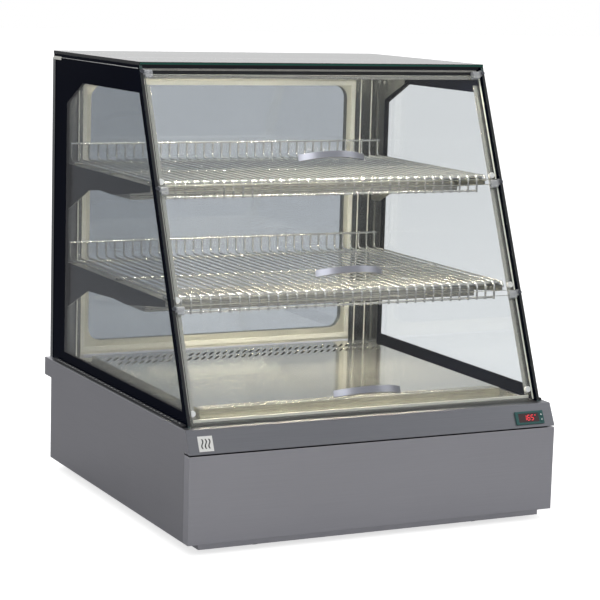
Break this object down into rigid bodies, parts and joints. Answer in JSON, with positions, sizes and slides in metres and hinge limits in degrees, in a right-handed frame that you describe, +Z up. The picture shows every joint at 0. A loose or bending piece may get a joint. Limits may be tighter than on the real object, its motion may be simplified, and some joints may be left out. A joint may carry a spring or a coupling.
{
  "type": "hot food display case",
  "caption": "Countertop heated display case with a stainless base, three glazed levels on wire shelves, sloped lift-up front flaps and a hinged rear door.",
  "frame": {"origin": "centre of the footprint on the resting plane, under the feet", "axes": "+X to the customer's right, +Y from the customer's side to the rear door, +Z up"},
  "size_m": [0.78, 0.78, 0.88],
  "materials": {
    "satin_steel": "satin brushed stainless sheet",
    "polished_steel": "bright polished stainless sheet",
    "bracket_steel": "satin stainless sheet",
    "wire_steel": "bright stainless wire",
    "plated_steel": "mill finish steel sheet",
    "glass": "clear toughened glass with a faint green edge",
    "satin_chrome": "satin chrome",
    "clear_plastic": "clear moulded plastic",
    "white_plastic": "soft white plastic",
    "black_plastic": "black moulded plastic",
    "bezel_plastic": "dark teal moulded plastic",
    "display_red": "dark red display window",
    "switch_red": "red rocker",
    "badge_metal": "satin plate with a plain border",
    "foot_rubber": "black rubber",
    "heater_sheath": "heat tinted tube",
    "fan_alloy": "pressed aluminium",
    "motor_black": "black enamel",
    "driver_metal": "mill finish",
    "lamp_cover": "frosted lamp glass"
  },
  "bodies": {
    "case": {"base_side_left": "satin_steel", "base_side_right": "satin_steel", "base_front_panel": "satin_steel", "control_fascia": "satin_steel", "base_rear_panel": "satin_steel", "rear_lip": "satin_steel", "bottom_tray": "satin_steel", "feet": "foot_rubber", "well_frame": "polished_steel", "deck_tray": "polished_steel", "air_box": "plated_steel", "heater_element": "heater_sheath", "fan_motor": "motor_black", "fan_plate": "plated_steel", "lamp_driver": "driver_metal", "controller_body": "black_plastic", "controller_bezel": "bezel_plastic", "controller_window": "display_red", "badge_plate": "badge_metal", "power_inlet": "black_plastic", "rear_post_left": "polished_steel", "rear_post_right": "polished_steel", "top_rear_rail": "polished_steel", "top_front_bar": "polished_steel", "top_lamp": "lamp_cover", "roof_glass_outer": "glass", "roof_glass_inner": "glass", "side_glass_left": "glass", "side_glass_right": "glass", "edge_profile_left": "polished_steel", "edge_profile_right": "polished_steel", "corner_gussets": "polished_steel", "bracket_upper_left": "bracket_steel", "bracket_upper_right": "bracket_steel", "bracket_lower_left": "bracket_steel", "bracket_lower_right": "bracket_steel", "wire_shelf_upper": "wire_steel", "wire_shelf_lower": "wire_steel", "lamp_housing_upper": "plated_steel", "lamp_housing_lower": "plated_steel", "heat_lamps": "lamp_cover", "flap_pivots": "clear_plastic", "flap_bumpers": "white_plastic", "door_hinges": "plated_steel"},
    "flap_upper": {"flap_glass_upper": "glass", "flap_handle_upper": "satin_chrome", "flap_clips_upper": "clear_plastic"},
    "flap_middle": {"flap_glass_middle": "glass", "flap_handle_middle": "satin_chrome", "flap_clips_middle": "clear_plastic"},
    "flap_lower": {"flap_glass_lower": "glass", "flap_handle_lower": "satin_chrome", "flap_clips_lower": "clear_plastic"},
    "rear_door": {"door_frame": "polished_steel", "door_glass": "glass", "door_handle": "satin_chrome"},
    "fan": {"fan_rotor": "fan_alloy"},
    "power_rocker": {"rocker_switch": "switch_red"},
    "up_key": {"key_up": "bezel_plastic"},
    "down_key": {"key_down": "bezel_plastic"}
  },
  "joints": [
    {"name": "flap_lower_hinge", "type": "hinge", "parent": "case", "child": "flap_lower", "pos_m": [0, -0.26196, 0.435], "axis": [-1, 0, 0], "range_deg": [0, 85]},
    {"name": "flap_middle_hinge", "type": "hinge", "parent": "case", "child": "flap_middle", "pos_m": [0, -0.17395, 0.64749], "axis": [-1, 0, 0], "range_deg": [0, 85]},
    {"name": "flap_upper_hinge", "type": "hinge", "parent": "case", "child": "flap_upper", "pos_m": [0, -0.08593, 0.85998], "axis": [-1, 0, 0], "range_deg": [0, 85]},
    {"name": "rear_door_hinge", "type": "hinge", "parent": "case", "child": "rear_door", "pos_m": [-0.322, 0.375, 0.53], "axis": [0, 0, 1], "range_deg": [0, 105]},
    {"name": "fan_spin", "type": "hinge", "parent": "case", "child": "fan", "pos_m": [0, -0.005, 0.14], "axis": [0, 0, 1], "continuous": true},
    {"name": "power_rocker_tilt", "type": "hinge", "parent": "case", "child": "power_rocker", "pos_m": [-0.3, 0.346, 0.105], "axis": [-1, 0, 0], "range_deg": [0, 16]},
    {"name": "key_up_press", "type": "slide", "parent": "case", "child": "up_key", "axis": [0, 0.8944, -0.4472], "range_m": [0, 0.0008], "stiffness_N_per_m": 400, "springref_m": -0.0005},
    {"name": "key_down_press", "type": "slide", "parent": "case", "child": "down_key", "axis": [0, 0.8944, -0.4472], "range_m": [0, 0.0008], "stiffness_N_per_m": 400, "springref_m": -0.0005}
  ]
}
